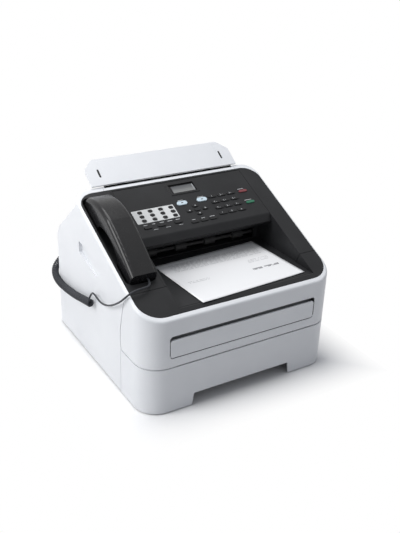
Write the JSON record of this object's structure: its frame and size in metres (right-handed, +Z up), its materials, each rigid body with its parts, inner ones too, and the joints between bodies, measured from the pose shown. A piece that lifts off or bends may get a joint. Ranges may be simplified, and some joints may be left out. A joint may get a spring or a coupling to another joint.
{
  "type": "fax machine",
  "caption": "Desktop laser fax machine with a corded handset, a hinged key panel over the output well, a front cover, a paper drawer and a document support.",
  "frame": {"origin": "bottom centre of the casing, on the surface that the feet stand on", "axes": "+X to the right seen from the front, +Y to the back, +Z up"},
  "size_m": [0.3838, 0.398, 0.3283],
  "materials": {
    "white_casing": "fine satin texture",
    "black_top": "fine spark-eroded texture",
    "handset_black": "polished",
    "dark_plastic": "plain moulded",
    "key_dark": "satin",
    "key_pale": "translucent",
    "key_red": "satin",
    "key_green": "satin",
    "board_green": "coated board",
    "display": "reflective display window",
    "card": "printed card",
    "page": "plain paper",
    "steel": "zinc plated",
    "rubber": "matte",
    "drum_blue": "coated drum",
    "cord_grey": "satin sleeve",
    "plug_clear": "clear moulded"
  },
  "bodies": {
    "casing": {"base_frame": "dark_plastic", "left_side_cover": "white_casing", "right_side_cover": "white_casing", "rear_cover": "white_casing", "cover_screws": "steel", "rubber_feet": "rubber", "output_tray": "black_top", "handset_cradle": "black_top", "scanner_deck": "black_top", "image_sensor": "dark_plastic", "drum_unit": "dark_plastic", "toner_cartridge": "dark_plastic", "laser_unit": "dark_plastic", "fuser_unit": "dark_plastic", "main_motor": "steel", "main_board": "board_green", "power_supply": "board_green", "telephone_sockets": "dark_plastic", "power_inlet": "dark_plastic", "cord_leads": "cord_grey", "cord_curl": "cord_grey", "cord_plug": "plug_clear"},
    "drawer": {"tray_front": "white_casing", "paper_tray": "dark_plastic"},
    "lift_plate": {"lift_plate": "steel"},
    "left_guide": {"left_paper_guide": "dark_plastic"},
    "right_guide": {"right_paper_guide": "dark_plastic"},
    "front_cover": {"front_cover": "white_casing", "front_cover_inlay": "black_top"},
    "feed_flap": {"manual_feed_cover": "white_casing"},
    "rear_door": {"rear_door": "white_casing"},
    "lid": {"control_panel": "black_top", "panel_board": "board_green", "lcd_display": "display", "one_touch_label": "card"},
    "document_support": {"document_support": "white_casing"},
    "handset": {"handset_shell": "handset_black", "handset_face": "handset_black"},
    "hook_switch": {"hook_switch": "dark_plastic"},
    "exit_roller": {"exit_roller": "rubber"},
    "pickup_roller": {"pickup_roller": "rubber"},
    "photo_drum": {"photo_drum": "drum_blue"},
    "page": {"printed_page": "page"},
    "menu_keys": {"menu_keys": "key_dark"},
    "mode_keys": {"mode_keys": "key_pale"},
    "number_key_0": {"number_key_0": "key_dark"},
    "number_key_1": {"number_key_1": "key_dark"},
    "number_key_2": {"number_key_2": "key_dark"},
    "number_key_3": {"number_key_3": "key_dark"},
    "number_key_4": {"number_key_4": "key_dark"},
    "number_key_5": {"number_key_5": "key_dark"},
    "number_key_6": {"number_key_6": "key_dark"},
    "number_key_7": {"number_key_7": "key_dark"},
    "number_key_8": {"number_key_8": "key_dark"},
    "number_key_9": {"number_key_9": "key_dark"},
    "number_key_hash": {"number_key_hash": "key_dark"},
    "number_key_star": {"number_key_star": "key_dark"},
    "one_touch_keys": {"one_touch_keys": "key_dark"},
    "start_key": {"start_key": "key_green"},
    "stop_key": {"stop_key": "key_red"}
  },
  "joints": [
    {"name": "drawer_slide", "type": "slide", "parent": "casing", "child": "drawer", "axis": [0, -1, 0], "range_m": [0, 0.25]},
    {"name": "lift_plate_hinge", "type": "hinge", "parent": "drawer", "child": "lift_plate", "pos_m": [0, 0.1, 0.0135], "axis": [-1, 0, 0], "range_deg": [0, 12]},
    {"name": "right_guide_slide", "type": "slide", "parent": "drawer", "child": "right_guide", "axis": [-1, 0, 0], "range_m": [0, 0.03]},
    {"name": "left_guide_slide", "type": "slide", "parent": "drawer", "child": "left_guide", "axis": [1, 0, 0], "range_m": [0, 0.03]},
    {"name": "front_cover_hinge", "type": "hinge", "parent": "casing", "child": "front_cover", "pos_m": [0, -0.173, 0.097], "axis": [1, 0, 0], "range_deg": [0, 90]},
    {"name": "feed_flap_hinge", "type": "hinge", "parent": "front_cover", "child": "feed_flap", "pos_m": [0, -0.1783, 0.105], "axis": [1, 0, 0], "range_deg": [0, 75]},
    {"name": "rear_door_hinge", "type": "hinge", "parent": "casing", "child": "rear_door", "pos_m": [0, 0.1784, 0.044], "axis": [-1, 0, 0], "range_deg": [0, 90]},
    {"name": "lid_hinge", "type": "hinge", "parent": "casing", "child": "lid", "pos_m": [0, 0.07828, 0.28448], "axis": [-1, 0, 0], "range_deg": [0, 50]},
    {"name": "document_support_hinge", "type": "hinge", "parent": "casing", "child": "document_support", "pos_m": [0, 0.1015, 0.29149], "axis": [-1, 0, 0], "range_deg": [0, 74]},
    {"name": "handset_lift", "type": "slide", "parent": "casing", "child": "handset", "axis": [0, -0.4099, 0.9121], "range_m": [0, 0.1]},
    {"name": "hook_switch_travel", "type": "slide", "parent": "casing", "child": "hook_switch", "axis": [0, -0.4099, 0.9121], "range_m": [0, 0.0035]},
    {"name": "photo_drum_spin", "type": "hinge", "parent": "casing", "child": "photo_drum", "pos_m": [0, -0.02, 0.112], "axis": [1, 0, 0], "continuous": true},
    {"name": "exit_roller_spin", "type": "hinge", "parent": "casing", "child": "exit_roller", "pos_m": [0, 0.017, 0.188], "axis": [1, 0, 0], "continuous": true},
    {"name": "pickup_roller_spin", "type": "hinge", "parent": "casing", "child": "pickup_roller", "pos_m": [0, -0.106, 0.084], "axis": [1, 0, 0], "continuous": true},
    {"name": "page_slide", "type": "slide", "parent": "casing", "child": "page", "axis": [0, -1, 0], "range_m": [0, 0.16]},
    {"name": "menu_keys_press", "type": "slide", "parent": "lid", "child": "menu_keys", "axis": [0, -0.4099, 0.9121], "range_m": [-0.001, 0], "stiffness_N_per_m": 500, "springref_m": 0.001},
    {"name": "mode_keys_press", "type": "slide", "parent": "lid", "child": "mode_keys", "axis": [0, -0.4099, 0.9121], "range_m": [-0.001, 0], "stiffness_N_per_m": 500, "springref_m": 0.001},
    {"name": "number_key_0_press", "type": "slide", "parent": "lid", "child": "number_key_0", "axis": [0, -0.4099, 0.9121], "range_m": [-0.001, 0], "stiffness_N_per_m": 500, "springref_m": 0.001},
    {"name": "number_key_1_press", "type": "slide", "parent": "lid", "child": "number_key_1", "axis": [0, -0.4099, 0.9121], "range_m": [-0.001, 0], "stiffness_N_per_m": 500, "springref_m": 0.001},
    {"name": "number_key_2_press", "type": "slide", "parent": "lid", "child": "number_key_2", "axis": [0, -0.4099, 0.9121], "range_m": [-0.001, 0], "stiffness_N_per_m": 500, "springref_m": 0.001},
    {"name": "number_key_3_press", "type": "slide", "parent": "lid", "child": "number_key_3", "axis": [0, -0.4099, 0.9121], "range_m": [-0.001, 0], "stiffness_N_per_m": 500, "springref_m": 0.001},
    {"name": "number_key_4_press", "type": "slide", "parent": "lid", "child": "number_key_4", "axis": [0, -0.4099, 0.9121], "range_m": [-0.001, 0], "stiffness_N_per_m": 500, "springref_m": 0.001},
    {"name": "number_key_5_press", "type": "slide", "parent": "lid", "child": "number_key_5", "axis": [0, -0.4099, 0.9121], "range_m": [-0.001, 0], "stiffness_N_per_m": 500, "springref_m": 0.001},
    {"name": "number_key_6_press", "type": "slide", "parent": "lid", "child": "number_key_6", "axis": [0, -0.4099, 0.9121], "range_m": [-0.001, 0], "stiffness_N_per_m": 500, "springref_m": 0.001},
    {"name": "number_key_7_press", "type": "slide", "parent": "lid", "child": "number_key_7", "axis": [0, -0.4099, 0.9121], "range_m": [-0.001, 0], "stiffness_N_per_m": 500, "springref_m": 0.001},
    {"name": "number_key_8_press", "type": "slide", "parent": "lid", "child": "number_key_8", "axis": [0, -0.4099, 0.9121], "range_m": [-0.001, 0], "stiffness_N_per_m": 500, "springref_m": 0.001},
    {"name": "number_key_9_press", "type": "slide", "parent": "lid", "child": "number_key_9", "axis": [0, -0.4099, 0.9121], "range_m": [-0.001, 0], "stiffness_N_per_m": 500, "springref_m": 0.001},
    {"name": "number_key_hash_press", "type": "slide", "parent": "lid", "child": "number_key_hash", "axis": [0, -0.4099, 0.9121], "range_m": [-0.001, 0], "stiffness_N_per_m": 500, "springref_m": 0.001},
    {"name": "number_key_star_press", "type": "slide", "parent": "lid", "child": "number_key_star", "axis": [0, -0.4099, 0.9121], "range_m": [-0.001, 0], "stiffness_N_per_m": 500, "springref_m": 0.001},
    {"name": "one_touch_keys_press", "type": "slide", "parent": "lid", "child": "one_touch_keys", "axis": [0, -0.4099, 0.9121], "range_m": [-0.001, 0], "stiffness_N_per_m": 500, "springref_m": 0.001},
    {"name": "start_key_press", "type": "slide", "parent": "lid", "child": "start_key", "axis": [0, -0.4099, 0.9121], "range_m": [-0.001, 0], "stiffness_N_per_m": 500, "springref_m": 0.001},
    {"name": "stop_key_press", "type": "slide", "parent": "lid", "child": "stop_key", "axis": [0, -0.4099, 0.9121], "range_m": [-0.001, 0], "stiffness_N_per_m": 500, "springref_m": 0.001}
  ],
  "couplings": [
    {"joint": "left_guide_slide", "follows": "right_guide_slide", "ratio": 1},
    {"joint": "hook_switch_travel", "follows": "handset_lift", "ratio": 0.035},
    {"joint": "exit_roller_spin", "follows": "photo_drum_spin", "ratio": 1.7143}
  ]
}
